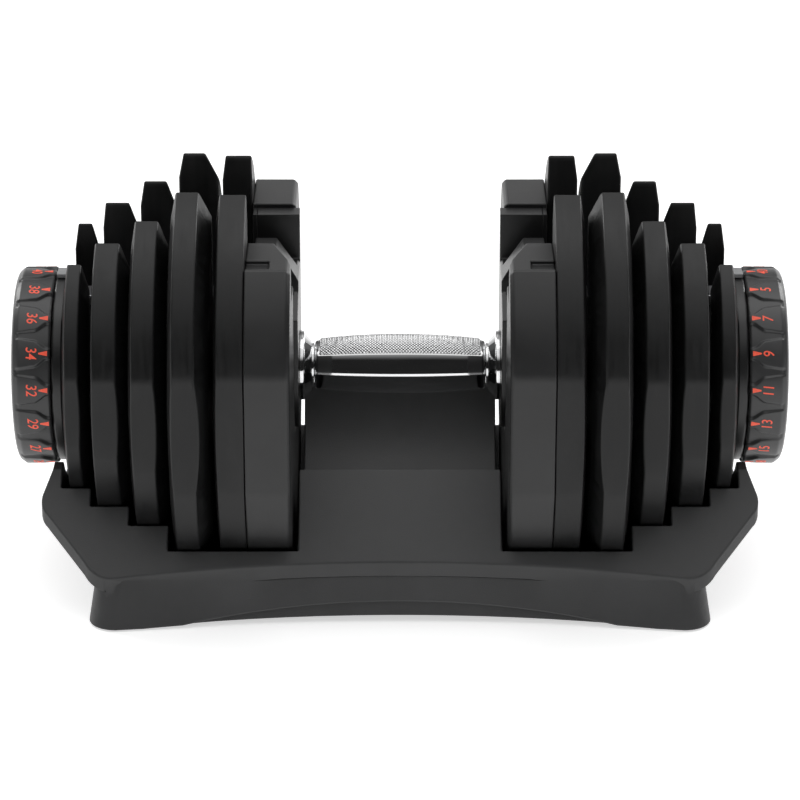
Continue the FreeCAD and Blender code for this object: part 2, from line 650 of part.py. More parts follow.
def dial(side_name, side):
    """The numbered dial with shallow grips between its 17 settings."""
    knob = body(f"dial_{side_name}")
    rad = "Dims.dial_rad"
    depth = "(Dims.half_length - Dims.dial_face)"
    revolve(knob, "turned", mirrored(side, [
        ("0", "Dims.tube_rad + Dims.fit"), ("0", f"{rad} - 1.4"), ("1.2", rad),
        (f"{depth} - 4.2", rad), (f"{depth}", f"{rad} - 3.6"), (depth, f"{rad} - 10"),
        (f"{depth} - Dims.dish", f"{rad} - 12"), (f"{depth} - Dims.dish", "Dims.cap_rad + 0.1"),
        ("Dims.dial_web", "Dims.cap_rad + 0.1"), ("Dims.dial_web", "Dims.tube_rad + Dims.fit"),
    ]))
    doc.recompute()
    groove = knob.newObject("PartDesign::Pocket", "grip")
    groove.Profile = sketch_on(knob, "XY_Plane", "grip_outline", mirrored(side, [
        ("4", "-0.9"), (f"{depth} - 5", "-1.6"), (f"{depth} + 1", "-2.6"), (f"{depth} + 1", "2.6"),
        (f"{depth} - 5", "1.6"), ("4", "0.9"),
    ]), offset=f"{rad} + 2")
    bind(groove, Length="3.2")
    doc.recompute()
    grips = knob.newObject("PartDesign::PolarPattern", "grips")
    grips.Originals = [groove]
    grips.Axis = ([f for f in knob.Origin.OriginFeatures if f.Role == "X_Axis"][0], [""])
    grips.Angle = 360
    grips.Occurrences = int(D["steps"])
    knob.Tip = grips
    # half a step on, so that a number is on top
    knob.Placement.Rotation = FreeCAD.Rotation(V(1, 0, 0), 180.0 / D["steps"])
    return lift(knob, f"{side} * Dims.dial_face")


def end_fixings(side_name, side):
    """The washer and nut on the shaft's end, and the cap that hides them."""
    hub = "Dims.dial_face + Dims.dial_web + 0.2"
    x0, x1 = span(side, hub, f"{hub} + 1.6")
    washer = cut(f"washer_cut_{side_name}", rod(f"washer_disc_{side_name}", "16", x0, x1),
                 rod(f"washer_hole_{side_name}", "Dims.tube_bore", f"{x0} - 1", f"{x1} + 1"))
    lift(node(washer, f"end_washer_{side_name}"))
    nut = body(f"end_nut_{side_name}")
    across = 11.0
    corners = [(f"{across} * cos({60 * i})", f"{across} * sin({60 * i})") for i in range(6)]
    pad(nut, "hexagon", "YZ_Plane", "5", corners, circle("Dims.shaft_rad"), reverse=side < 0)
    lift(nut, f"{side} * ({hub} + 1.6)")
    cap = body(f"dial_cap_{side_name}")
    revolve(cap, "cap", mirrored(side, [
        ("0", "0"), ("Dims.cap_thick", "0"), ("Dims.cap_thick", "Dims.cap_rad - 3.9"),
        ("Dims.cap_thick - 1", "Dims.cap_rad"), ("0", "Dims.cap_rad"),
    ]))
    lift(cap, f"{side} * (Dims.half_length - Dims.dish - Dims.cap_thick)")


def springs_and_ball(side_name, side):
    """The lock pin's return spring, and the sprung ball that clicks against the dial."""
    height = D["axis_height"]
    node(coil(f"pin_coil_{side_name}", 3.1, 0.55, 3.4, 37.0,
              V(side * D["pin_x"], D["pin_y"], height + 41.2)), f"lock_spring_{side_name}")
    ball = doc.addObject("Part::Sphere", f"ball_{side_name}")
    bind(ball, Radius="2", Placement__Base__x=f"{side} * (Dims.dial_face - 2.3)",
         Placement__Base__z="Dims.axis_height - Dims.ball_drop")
    node(ball, f"detent_ball_{side_name}")
    turn = FreeCAD.Rotation(V(0, 1, 0), 90 * side)
    seat = V(side * (D["ring_face"] + 1.6), 0, height - D["ball_drop"])
    node(coil(f"ball_coil_{side_name}", 1.4, 0.25, 0.9, 1.4, seat, turn),
         f"detent_spring_{side_name}")


# ---------------------------------------------------------------- tray
def roof_outline(drop):
    """The tray's cross-section: two panels that slope up to the crests, filled between them."""
    edge, crest = "130", "Dims.crest_y"
    low = f"-(Dims.roof_drop + Dims.roof_slope * ({edge} - Dims.roof_y)) - {drop}"
    high = f"-(Dims.roof_drop + Dims.roof_slope * ({crest} - Dims.roof_y)) - {drop}"
    return [
        (f"-{edge}", "-Dims.ground - 20"), (edge, "-Dims.ground - 20"), (edge, low),
        (crest, high), (f"-{crest}", high), (f"-{edge}", low),
    ]


def tray():
    """The moulded tray: a deck with a well for each plate, the grip's valley and a flared skirt."""
    under_roof = prism("under_roof", "YZ", "-Dims.tray_half", "Dims.tray_half", roof_outline("0"))
    deck_plan = prism("deck_plan", "XY", "-Dims.ground", "0", four_quarters([
        ("Dims.front_x", "Dims.front_y", ("Dims.bend_x", "Dims.bend_y")),
        ("Dims.corner_x", "Dims.corner_y", None),
        ("Dims.ear_x", "Dims.ear_y", ("Dims.ear_tip_x", "Dims.ear_tip_y")),
        ("Dims.ear_end_x", "Dims.ear_end_y", None),
        ("Dims.end_x", "Dims.end_y", None),
    ], "Dims.front_mid"))
    inner_roof = prism("inner_roof", "YZ", "-Dims.tray_half - 1", "Dims.tray_half + 1",
                       roof_outline("Dims.deck"))
    deck = cut("deck_sheet", common("deck_block", under_roof, deck_plan), inner_roof)
    skirt = cut("skirt_ring", skirt_loft("skirt_outer", "0"), skirt_loft("skirt_inner", "Dims.skirt_wall"))

    solids = [deck, common("skirt", skirt, under_roof)]
    rooms = []
    for key in PLATES:
        radius = f"Dims.p{key}_rad + Dims.well_gap"
        reach = f"Dims.p{key}_face + Dims.p{key}_thick + Dims.well_reach"
        floor = f"-(Dims.base_{key} + Dims.plate_gap)"
        for side_name, side in SIDES:
            name = f"{key}_{side_name}"
            x0, x1 = span(side, "Dims.well_start", reach)
            t0, t1 = span(side, "Dims.well_start - Dims.well_wall", f"{reach} + Dims.well_wall")
            rooms.append(common(
                f"well_{name}", rod(f"well_round_{name}", radius, x0, x1),
                block(f"well_box_{name}", x0, x1, "-130", "130", floor, "20"),
            ))
            tub = common(
                f"tub_{name}", rod(f"tub_round_{name}", f"{radius} + Dims.well_wall", t0, t1),
                block(f"tub_box_{name}", t0, t1, "-130", "130", f"{floor} - Dims.well_floor", "20"),
            )
            solids.append(common(f"tub_roofed_{name}", tub, under_roof))
    valley_ends = ("-Dims.well_start", "Dims.well_start")
    rooms.append(rod("valley", "Dims.valley_rad", *valley_ends, z="-Dims.valley_z"))
    valley_shell = rod("valley_shell", "Dims.valley_rad + Dims.valley_wall", *valley_ends,
                       z="-Dims.valley_z")
    solids.append(common("valley_tub", valley_shell, under_roof))
    # the lip that raises the valley's back edge
    solids.append(prism("back_lip", "YZ", "-Dims.well_start", "Dims.well_start", [
        ("Dims.crest_y - 4", "-Dims.lip_top - 10"), ("Dims.crest_y + 12", "-Dims.lip_top - 18"),
        ("Dims.crest_y + 5", "-Dims.lip_top"), ("Dims.crest_y - 4", "-Dims.lip_top"),
    ]))

    posts = []
    for side_name, side in SIDES:
        for end_name, end in (("front", -1), ("back", 1)):
            solids.append(post(f"boss_{end_name}_{side_name}", "Dims.boss_rad",
                               "-Dims.ground + Dims.foot_high", "-Dims.boss_top",
                               f"{side} * Dims.foot_x", f"{end} * Dims.foot_y"))
        x0, x1 = span(side, "Dims.pin_x - Dims.release_half", "Dims.pin_x + Dims.release_half")
        posts.append(block(f"release_post_{side_name}", x0, x1, "Dims.pin_y - Dims.release_half",
                           "Dims.pin_y + Dims.release_half", "-Dims.base_e - 1", "-Dims.release_top"))
        rooms.append(rod(f"dial_room_{side_name}", "Dims.dial_room_rad",
                         *span(side, "Dims.dial_room_start", "Dims.tray_half + 5")))
    # the arched hem, and the undercut above it that sets the skirt's face back
    rooms.append(rod("hem", "Dims.hem_rad", "0", "300", y="-150", z="-Dims.hem_top - Dims.hem_rad",
                     turn=ALONG_Y))
    rooms.append(common(
        "undercut",
        rod("arch", "Dims.arch_rad", "0", "300", y="-150", z="-Dims.arch_top - Dims.arch_rad",
            turn=ALONG_Y),
        cut("skirt_skin", skirt_loft("skirt_face", "0"), skirt_loft("skirt_back", "Dims.arch_cut")),
    ))
    hollow = cut("tray_hollow", fuse("tray_body", *solids), fuse("tray_room", *rooms))
    return lift(node(fuse("tray", hollow, *posts), "tray"))


def skirt_loft(name, inset):
    """The flared wall under the deck, as a solid from the hem up to inside the deck."""
    sections = []
    for level in ("hem", "waist"):
        end = f"(Dims.{level}_end - {inset})"
        front = f"(Dims.{level}_front - {inset})"
        bend, part = "Dims.skirt_bend", "Dims.skirt_bend * (1 - sqrt(0.5))"
        outline = four_quarters([
            (f"{end} - {bend}", front, (f"{end} - {part}", f"{front} - {part}")),
            (end, f"{front} - {bend}", None),
        ], f"Dims.{level}_mid - {inset}")
        sketch = draw(doc.addObject("Sketcher::SketchObject", f"{name}_{level}"), [outline])
        bind(sketch, Placement__Base__z=f"-Dims.{level}_level")
        sections.append(sketch)
    loft = doc.addObject("Part::Loft", name)
    loft.Sections = sections
    loft.Solid = True
    loft.Ruled = True
    return loft


def rubber_feet():
    """The four pads that the tray stands on."""
    feet = []
    for side_name, side in SIDES:
        for end_name, end in (("front", -1), ("back", 1)):
            feet.append(post(f"foot_{end_name}_{side_name}", "Dims.foot_rad", "-Dims.ground",
                             "-Dims.ground + Dims.foot_high", f"{side} * Dims.foot_x",
                             f"{end} * Dims.foot_y"))
    group = doc.addObject("Part::Compound", "feet")
    group.Links = feet
    return lift(node(group, "rubber_feet"))


# ---------------------------------------------------------------- build
tray()
rubber_feet()
grip()
shaft()
for side_name, side in SIDES:
    for key in PLATES:
        weight_plate(side_name, side, key)
    inner_block(side_name, side)
    collar(side_name, side)
    guard(side_name, side)
    guard_cover(side_name, side)
    top_rail(side_name, side)
    keyed_tube(side_name, side)
    lock_wheel(side_name, side)
    lock_pin(side_name, side)
    ends = {"a": "Dims.ring_face - 3.4"}
    for outer, inner in zip("abcd", "bcde"):
        ends[inner] = f"Dims.p{outer}_face + Dims.hub_start"
    for key in PLATES:
        selector_disc(side_name, side, key, ends[key])
    index_ring(side_name, side)
    pointer(side_name, side)
    dial(side_name, side)
    end_fixings(side_name, side)
    springs_and_ball(side_name, side)

doc.recompute()
for thing in doc.Objects:
    if "Invalid" in thing.State or "Error" in thing.State:
        raise RuntimeError(f"{thing.Name} ({thing.Label}) failed: {thing.State}")
os.makedirs("parts", exist_ok=True)
for thing in nodes:
    if thing.Shape.isNull() or not thing.Shape.isValid():
        raise RuntimeError(f"{thing.Label} has no valid shape")
    thing.Shape.exportStep(f"parts/{thing.Label}.step")
    print(thing.Label, len(thing.Shape.Solids), round(thing.Shape.Volume / 1000, 1), "cm3")
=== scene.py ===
import json
import math

import bmesh
import bpy
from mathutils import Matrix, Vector


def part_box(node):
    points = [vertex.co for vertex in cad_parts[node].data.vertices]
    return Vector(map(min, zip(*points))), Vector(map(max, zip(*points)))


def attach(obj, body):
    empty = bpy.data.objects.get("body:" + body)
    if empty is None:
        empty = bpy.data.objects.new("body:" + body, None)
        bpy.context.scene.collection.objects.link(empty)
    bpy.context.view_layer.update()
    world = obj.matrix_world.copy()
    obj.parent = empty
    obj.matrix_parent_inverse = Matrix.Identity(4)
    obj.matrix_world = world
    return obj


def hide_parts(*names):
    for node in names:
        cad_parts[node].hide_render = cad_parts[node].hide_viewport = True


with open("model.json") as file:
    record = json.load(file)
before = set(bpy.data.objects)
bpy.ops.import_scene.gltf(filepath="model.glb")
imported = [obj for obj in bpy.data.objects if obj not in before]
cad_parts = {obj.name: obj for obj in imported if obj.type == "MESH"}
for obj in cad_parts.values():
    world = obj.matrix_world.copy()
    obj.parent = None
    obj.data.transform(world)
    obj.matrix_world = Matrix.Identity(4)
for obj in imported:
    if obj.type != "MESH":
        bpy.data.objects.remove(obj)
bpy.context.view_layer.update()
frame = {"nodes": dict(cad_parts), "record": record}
NODES = frame["nodes"]
RECORD = frame["record"]
SLOT_OF = {part["node"]: part["material_slot"] for part in RECORD["subparts"]}
BODY_OF = {node: body for body, nodes in RECORD["behaviour"]["bodies"].items() for node in nodes}
SIDES = (("left", -1), ("right", 1))
PLATES = ("a", "b", "c", "d", "e")
MM = 0.001

# places read from the frame
GRIP_LOW, GRIP_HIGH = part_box("grip")
AXIS_Z = (GRIP_LOW[2] + GRIP_HIGH[2]) / 2
GRIP_HALF = GRIP_HIGH[0]
GRIP_RADIUS = GRIP_HIGH[2] - AXIS_Z
DIAL_LOW, DIAL_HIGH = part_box("dial_right")
DIAL_FACE = DIAL_LOW[0]
DIAL_DEPTH = DIAL_HIGH[0] - DIAL_LOW[0]
DIAL_RADIUS = DIAL_HIGH[2] - AXIS_Z


# ---------------------------------------------------------------- node helpers
class Shader:
    """A node material that is built up a node at a time."""

    def __init__(self, name):
        self.material = bpy.data.materials.new(name)
        self.material.use_nodes = True
        self.tree = self.material.node_tree
        self.bsdf = self.tree.nodes["Principled BSDF"]
        self.coordinates = self.add("ShaderNodeTexCoord").outputs["Object"]

    def add(self, kind, **settings):
        node = self.tree.nodes.new(kind)
        for name, value in settings.items():
            setattr(node, name, value)
        return node

    def link(self, source, target):
        self.tree.links.new(source, target)

    def set(self, **values):
        """Constant values, straight on the shader's own sockets."""
        for name, value in values.items():
            self.bsdf.inputs[name.replace("_", " ")].default_value = value

    def stretched(self, x, y, z):
        """Object coordinates scaled along each axis."""
        mapping = self.add("ShaderNodeMapping")
        mapping.inputs["Scale"].default_value = (x, y, z)
        self.link(self.coordinates, mapping.inputs["Vector"])
        return mapping.outputs["Vector"]

    def noise(self, scale, detail=4.0, roughness=0.55, vector=None):
        """A noise value over the object, or over other coordinates if they are given."""
        node = self.add("ShaderNodeTexNoise")
        node.inputs["Scale"].default_value = scale
        node.inputs["Detail"].default_value = detail
        node.inputs["Roughness"].default_value = roughness
        self.link(vector or self.coordinates, node.inputs["Vector"])
        return node.outputs["Fac"]

    def span(self, source, low, high, start=0.0, end=1.0):
        """Maps a value from start..end to low..high."""
        node = self.add("ShaderNodeMapRange")
        for name, value in (("From Min", start), ("From Max", end), ("To Min", low), ("To Max", high)):
            node.inputs[name].default_value = value
        self.link(source, node.inputs["Value"])
        return node.outputs["Result"]

    def math(self, operation, first, second):
        """Joins two values by an operation."""
        node = self.add("ShaderNodeMath", operation=operation)
        self.link(first, node.inputs[0])
        self.link(second, node.inputs[1])
        return node.outputs[0]

    def ramp(self, source, *stops):
        """Turns a value into a colour, by stops of place and colour."""
        node = self.add("ShaderNodeValToRGB")
        while len(node.color_ramp.elements) < len(stops):
            node.color_ramp.elements.new(0.5)
        for element, (place, colour) in zip(node.color_ramp.elements, stops):
            element.position = place
            element.color = (*colour, 1.0)
        self.link(source, node.inputs["Fac"])
        return node.outputs["Color"]

    def bump(self, height, strength, distance):
        """Adds a bump on top of any that the material already has."""
        node = self.add("ShaderNodeBump")
        node.inputs["Strength"].default_value = strength
        node.inputs["Distance"].default_value = distance
        self.link(height, node.inputs["Height"])
        previous = self.bsdf.inputs["Normal"].links
        if previous:
            self.link(previous[0].from_socket, node.inputs["Normal"])
        self.link(node.outputs["Normal"], self.bsdf.inputs["Normal"])

    def edges(self, low, high):
        """Where the surface is bent outwards, from 0 to 1."""
        return self.span(self.add("ShaderNodeNewGeometry").outputs["Pointiness"], 0.0, 1.0, low, high)

    def mix(self, factor, first, second):
        """Blends two colours by a factor."""
        node = self.add("ShaderNodeMix", data_type="RGBA")
        self.link(factor, node.inputs["Factor"])
        self.link(first, node.inputs["A"])
        node.inputs["B"].default_value = (*second, 1.0)
        return node.outputs["Result"]

    def colour(self, source):
        self.link(source, self.bsdf.inputs["Base Color"])

    def roughness(self, source):
        self.link(source, self.bsdf.inputs["Roughness"])


def grey(value):
    """A grey that is very slightly blue."""
    return (value, value * 1.01, value * 1.03)


# ---------------------------------------------------------------- materials
def coated_iron():
    """Satin black coating on a casting: faint mottling, fine grain and rubbed streaks."""
    s = Shader("plate_coating")
    s.set(Specular_IOR_Level=0.34)
    streaks = s.noise(1.0, 5.0, 0.6, s.stretched(420, 60, 24))
    mottle = s.noise(38, 5.0, 0.6)
    tone = s.math("MULTIPLY", streaks, mottle)
    rubbed = s.math("MULTIPLY", s.edges(0.52, 0.60), s.noise(140, 4.0, 0.7))
    s.colour(s.mix(rubbed, s.ramp(tone, (0.1, grey(0.006)), (0.5, grey(0.014))), grey(0.050)))
    s.roughness(s.span(s.math("ADD", streaks, mottle), 0.32, 0.52, 0.7, 1.3))
    s.bump(s.noise(2600, 2.0, 0.5), 0.12, 0.00012)
    s.bump(s.noise(160, 3.0, 0.5), 0.12, 0.0007)
    return s.material


def moulded(name, low, high, rough_low, rough_high, grain, depth):
    """Moulded plastic between two tones, with a spark-eroded grain and slight changes of shine."""
    s = Shader(name)
    tone = s.noise(26, 5.0, 0.6)
    s.colour(s.ramp(tone, (0.3, grey(low)), (0.75, grey(high))))
    fine = s.noise(grain, 3.0, 0.65)
    s.roughness(s.span(s.math("ADD", fine, tone), rough_low, rough_high, 0.6, 1.4))
    s.bump(fine, 0.45, depth)
    s.bump(s.noise(55, 2.0, 0.5), 0.10, 0.0008)
    return s.material


def chrome():
    """Polished chrome with faint wipe marks."""
    s = Shader("chrome")
    s.set(Metallic=1.0)
    smear = s.noise(30, 4.0, 0.6, s.stretched(1, 4, 4))
    s.colour(s.ramp(smear, (0.2, (0.74, 0.745, 0.75)), (0.8, (0.86, 0.862, 0.868))))
    s.roughness(s.span(smear, 0.035, 0.11, 0.3, 0.75))
    s.bump(s.noise(90, 2.0, 0.4), 0.03, 0.0003)
    return s.material


def zinc_steel(name):
    """Zinc-plated steel with fine turning marks."""
    s = Shader(name)
    s.set(Metallic=1.0)
    turned = s.noise(1.0, 4.0, 0.6, s.stretched(1400, 40, 40))
    s.colour(s.ramp(turned, (0.25, (0.36, 0.36, 0.37)), (0.75, (0.56, 0.56, 0.58))))
    s.roughness(s.span(turned, 0.22, 0.42))
    s.bump(turned, 0.2, 0.00008)
    return s.material


def painted_marks():
    """Orange-red pad-printed ink, a little uneven, with a faint painted glow from emission."""
    s = Shader("dial_ink_and_glow")
    # Painted glow: the ink emits a little light of its own, so it reads brighter than lit ink would.
    s.set(Emission_Color=(1.0, 0.11, 0.055, 1.0), Emission_Strength=0.2)
    wear = s.noise(700, 4.0, 0.7)
    s.colour(s.ramp(wear, (0.25, (0.78, 0.075, 0.040)), (0.6, (0.95, 0.13, 0.075))))
    s.roughness(s.span(wear, 0.42, 0.6))
    s.bump(wear, 0.15, 0.00005)
    return s.material


MATERIALS = {
    "plate_coating": coated_iron(),
    "block_plastic": moulded("block_plastic", 0.014, 0.024, 0.36, 0.46, 2200, 0.00007),
    "tray_plastic": moulded("tray_plastic", 0.040, 0.054, 0.46, 0.60, 1500, 0.00022),
    "guard_plastic": moulded("guard_plastic", 0.012, 0.018, 0.27, 0.37, 2200, 0.00008),
    "dial_plastic": moulded("dial_plastic", 0.040, 0.054, 0.28, 0.38, 2600, 0.00005),
    "pointer_grey": moulded("pointer_grey", 0.26, 0.34, 0.40, 0.50, 2600, 0.00005),
    "disc_nylon": moulded("disc_nylon", 0.030, 0.045, 0.48, 0.60, 1800, 0.00010),
    "foot_rubber": moulded("foot_rubber", 0.010, 0.014, 0.75, 0.88, 900, 0.00020),
    "chrome": chrome(),
    "zinc_steel": zinc_steel("zinc_steel"),
    "spring_steel": zinc_steel("spring_steel"),
}
DIAL_INK_AND_GLOW = painted_marks()
for node_name, cad_object in NODES.items():
    cad_object.data.materials.clear()
    cad_object.data.materials.append(MATERIALS[SLOT_OF[node_name]])


# ---------------------------------------------------------------- mesh helpers
def smoothstep(value, start, end):
    """Rises smoothly from 0 at the start to 1 at the end."""
    share = min(max((value - start) / (end - start), 0.0), 1.0)
    return share * share * (3.0 - 2.0 * share)


def piece_from(mesh_builder, name, body, slot, material=None, node=None):
    """Makes a piece of a bmesh, in the finish of a slot, standing for a CAD node if one is named."""
    mesh = bpy.data.meshes.new(name)
    mesh_builder.to_mesh(mesh)
    mesh_builder.free()
    mesh.materials.append(material or MATERIALS[slot])
    piece = bpy.data.objects.new(name, mesh)
    bpy.context.scene.collection.objects.link(piece)
    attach(piece, body)
    if node:
        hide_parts(node)
    return piece


def softened(node, width):
    """Replaces a CAD node with a copy that has its sharper edges rounded."""
    weld, flat, sharp = 0.003 * MM, math.radians(0.4), math.radians(32.0)
    builder = bmesh.new()
    builder.from_mesh(NODES[node].data)
    bmesh.ops.remove_doubles(builder, verts=builder.verts, dist=weld)
    bmesh.ops.dissolve_limit(
        builder, angle_limit=flat, use_dissolve_boundaries=False,
        verts=builder.verts, edges=builder.edges,
    )
    for layer in list(builder.loops.layers.float_vector.values()):
        builder.loops.layers.float_vector.remove(layer)
    piece = piece_from(builder, f"{node}_finish", BODY_OF[node], SLOT_OF[node], node=node)
    for attribute in ("custom_normal", "sharp_face", "sharp_edge"):
        if attribute in piece.data.attributes:
            piece.data.attributes.remove(piece.data.attributes[attribute])
    piece.data.shade_smooth()
    piece.data.set_sharp_from_angle(angle=sharp)
    bevel = piece.modifiers.new("edges", "BEVEL")
    bevel.width = width
    bevel.segments = 3
    bevel.limit_method = "ANGLE"
    bevel.angle_limit = sharp
    bevel.use_clamp_overlap = False
    bevel.miter_outer = "MITER_ARC"
    normals = piece.modifiers.new("normals", "WEIGHTED_NORMAL")
    normals.keep_sharp = True


def rings_mesh(rings):
    """A closed surface through rings of points, with the last ring joined to the first."""
    builder = bmesh.new()
    made = [[builder.verts.new(point) for point in ring] for ring in rings]
    count = len(rings[0])
    for i, ring in enumerate(made):
        after = made[(i + 1) % len(made)]
        for j in range(count):
            k = (j + 1) % count
            builder.faces.new((ring[j], ring[k], after[k], after[j]))
    bmesh.ops.recalc_face_normals(builder, faces=builder.faces)
    for face in builder.faces:
        face.smooth = True
    return builder


def rounded_outline(corners, radius, longest):
    """A closed outline with its corners rounded, and its long sides divided up to a length."""
    arc_steps, most_of_side = 4, 0.45
    rounded = []
    for i, corner in enumerate(corners):
        here = Vector(corner)
        before, after = Vector(corners[i - 1]), Vector(corners[(i + 1) % len(corners)])
        shorter = min((before - here).length, (after - here).length)
        reach = min(radius, shorter * most_of_side)
        start = here + (before - here).normalized() * reach
        end = here + (after - here).normalized() * reach
        for step in range(arc_steps + 1):
            share = step / arc_steps
            rounded.append(start * (1 - share) ** 2 + here * 2 * share * (1 - share) + end * share ** 2)
    divided = []
    for i, point in enumerate(rounded):
        along = rounded[(i + 1) % len(rounded)] - point
        parts = max(1, math.ceil(along.length / longest))
        divided += [point + along * (part / parts) for part in range(parts)]
    return divided


# ---------------------------------------------------------------- grip
PANEL_EDGE = math.radians(47.0)
PANEL_HALF = 46.6 * MM
KNURL_PITCH = 1.9 * MM
KNURL_DEPTH = 0.62 * MM


def barrel_radius(x):
    """The grip's outline: a slow barrel with its ends turned down."""
    rise, roundness = 3.1 * MM, 2.4
    shoulder, end_radius = 47.4 * MM, 12.2 * MM
    barrel = GRIP_RADIUS - rise * (x / GRIP_HALF) ** 2
    if abs(x) <= shoulder:
        return barrel
    share = (abs(x) - shoulder) / (GRIP_HALF - shoulder)
    return end_radius + (barrel - end_radius) * math.sqrt(max(0.0, 1.0 - share ** roundness))


def ridged(angle, radius):
    """The radius of an eight-sided section with softened ridges and slightly crowned sides."""
    side = math.radians(45.0)
    flatness = 0.60
    total = 0.0
    offsets = (-2.4, -1.2, 0.0, 1.2, 2.4)
    for degrees in offsets:
        from_middle = (angle + math.radians(degrees)) % side - side / 2
        chord = radius * math.cos(side / 2) / math.cos(from_middle)
        total += radius - flatness * (radius - chord)
    return total / len(offsets)


def knurl(along, around):
    """Height of a diamond knurl, from 0 in the grooves to 1 on the points, which are cut flat."""
    cut_flat = 1.35
    height = 1.0
    for slant in (along + around, along - around):
        place = (slant / KNURL_PITCH) % 1.0
        height = min(height, 1.0 - abs(2.0 * place - 1.0))
    return min(1.0, height * cut_flat)


def grip():
    """The chrome grip: a ridged barrel with a knurled panel let into its top."""
    step_x, bore = 0.22 * MM, 7.0 * MM
    panel_steps, rest_steps, fine_reach = 124, 132, 1.1
    border, raised, sunk = math.radians(1.6), 0.25 * MM, 0.35 * MM
    end_blur, sink_start, sink_end = 0.3 * MM, 0.8 * MM, 1.6 * MM
    angles = [PANEL_EDGE * (2.0 * i / panel_steps - 1.0) * fine_reach for i in range(panel_steps + 1)]
    gap = 2.0 * math.pi - (angles[-1] - angles[0])
    angles += [angles[panel_steps] + gap * i / rest_steps for i in range(1, rest_steps)]
    columns = round(2 * GRIP_HALF / step_x)
    rings = []
    for column in range(columns + 1):
        x = -GRIP_HALF + 2 * GRIP_HALF * column / columns
        base = barrel_radius(x)
        end_fade = 1.0 - smoothstep(abs(x), PANEL_HALF - end_blur, PANEL_HALF + end_blur)
        sink_fade = 1.0 - smoothstep(abs(x), PANEL_HALF + sink_start, PANEL_HALF + sink_end)
        ring = []
        for angle in angles:
            turn = (angle + math.pi) % (2.0 * math.pi) - math.pi
            radius = ridged(turn, base)
            if abs(turn) < PANEL_EDGE + 2 * border:
                inside = 1.0 - smoothstep(abs(turn), PANEL_EDGE - border / 2, PANEL_EDGE + border / 2)
                beside = 1.0 - smoothstep(abs(turn), PANEL_EDGE + border, PANEL_EDGE + 2 * border)
                inside *= end_fade
                beside *= sink_fade
                panel = base + raised - KNURL_DEPTH * (1.0 - knurl(x, turn * base))
                radius += (base - sunk - radius) * beside
                radius += (panel - radius) * inside
            ring.append((x, -radius * math.sin(turn), AXIS_Z + radius * math.cos(turn)))
        rings.append(ring)
    for x in (GRIP_HALF, -GRIP_HALF):
        rings.append([(x, -bore * math.sin(a), AXIS_Z + bore * math.cos(a)) for a in angles])
    builder = rings_mesh(rings)
    piece = piece_from(builder, "knurled_grip", "handle", "chrome", node="grip")
    piece.data.set_sharp_from_angle(angle=math.radians(50))


# ---------------------------------------------------------------- dials
SETTINGS = (5, 7, 9, 11, 13, 15, 18, 20, 22, 24, 27, 29, 32, 34, 36, 38, 40)
STEP = 2.0 * math.pi / len(SETTINGS)
BAND_END = 19.0 * MM


def pad_half_width(depth):
    """Half the width of a number's pad: a narrow neck, a shoulder and a wide body."""
    neck, body, mouth = 3.1 * MM, 7.6 * MM, 8.8 * MM
    neck_end, shoulder_end, body_end = 1.6 * MM, 9.4 * MM, 8.0 * MM
    width = neck + (body - neck) * smoothstep(depth, neck_end, shoulder_end)
    return width + (mouth - body) * smoothstep(depth, body_end, BAND_END)


def scallop(depth, angle):
    """How far the dial's band is cut back between the pads."""
    edge, deep, fall, run_out = 0.75 * MM, 2.1 * MM, 1.2 * MM, 1.6 * MM
    from_pad = abs((angle + STEP / 2) % STEP - STEP / 2) * DIAL_RADIUS
    outside = smoothstep(from_pad, pad_half_width(depth) - edge, pad_half_width(depth) + edge)
    deepest = deep - fall * smoothstep(depth, 0.0, BAND_END)
    return outside * deepest * (1.0 - smoothstep(depth, BAND_END, BAND_END + run_out))


def dial(side_name, side):
    """The dial: a drum with a bottle-shaped pad for each setting, and a dished face with a ring."""
    bore, boss, dish, web = 12.06 * MM, 18.0 * MM, 2.4 * MM, 7.0 * MM
    ring_out, ring_in, ring_deep = 41.0 * MM, 22.0 * MM, 1.0 * MM
    face_edge, band_start = DIAL_RADIUS - 7 * MM, DIAL_RADIUS - 3 * MM
    around, thinned = len(SETTINGS) * 40, 6
    corners = [
        (0.0, bore), (0.0, DIAL_RADIUS - 1.0 * MM), (1.0 * MM, DIAL_RADIUS),
        (DIAL_DEPTH - 4.2 * MM, DIAL_RADIUS), (DIAL_DEPTH - 1.0 * MM, DIAL_RADIUS - 2.4 * MM),
        (DIAL_DEPTH, DIAL_RADIUS - 4.6 * MM), (DIAL_DEPTH, DIAL_RADIUS - 10 * MM),
        (DIAL_DEPTH - dish, DIAL_RADIUS - 12 * MM), (DIAL_DEPTH - dish, ring_out),
        (DIAL_DEPTH - dish - ring_deep, ring_out - ring_deep),
        (DIAL_DEPTH - dish - ring_deep, ring_in + ring_deep), (DIAL_DEPTH - dish, ring_in),
        (DIAL_DEPTH - dish, boss), (web, boss), (web, bore),
    ]
    outline = rounded_outline(corners, 0.9 * MM, longest=0.45 * MM)
    outline = [p for i, p in enumerate(outline) if p.y > face_edge or i % thinned == 0]
    rings = []
    for depth, radius in outline:
        banded = smoothstep(radius, face_edge, band_start)
        ring = []
        for i in range(around):
            angle = 2.0 * math.pi * i / around
            cut_back = radius - scallop(depth, angle) * banded
            ring.append((
                side * (DIAL_FACE + depth), -cut_back * math.sin(angle),
                AXIS_Z + cut_back * math.cos(angle),
            ))
        rings.append(ring)
    piece = piece_from(rings_mesh(rings), f"dial_drum_{side_name}", f"dial_{side_name}",
                       "dial_plastic", node=f"dial_{side_name}")
    piece.data.set_sharp_from_angle(angle=math.radians(60))


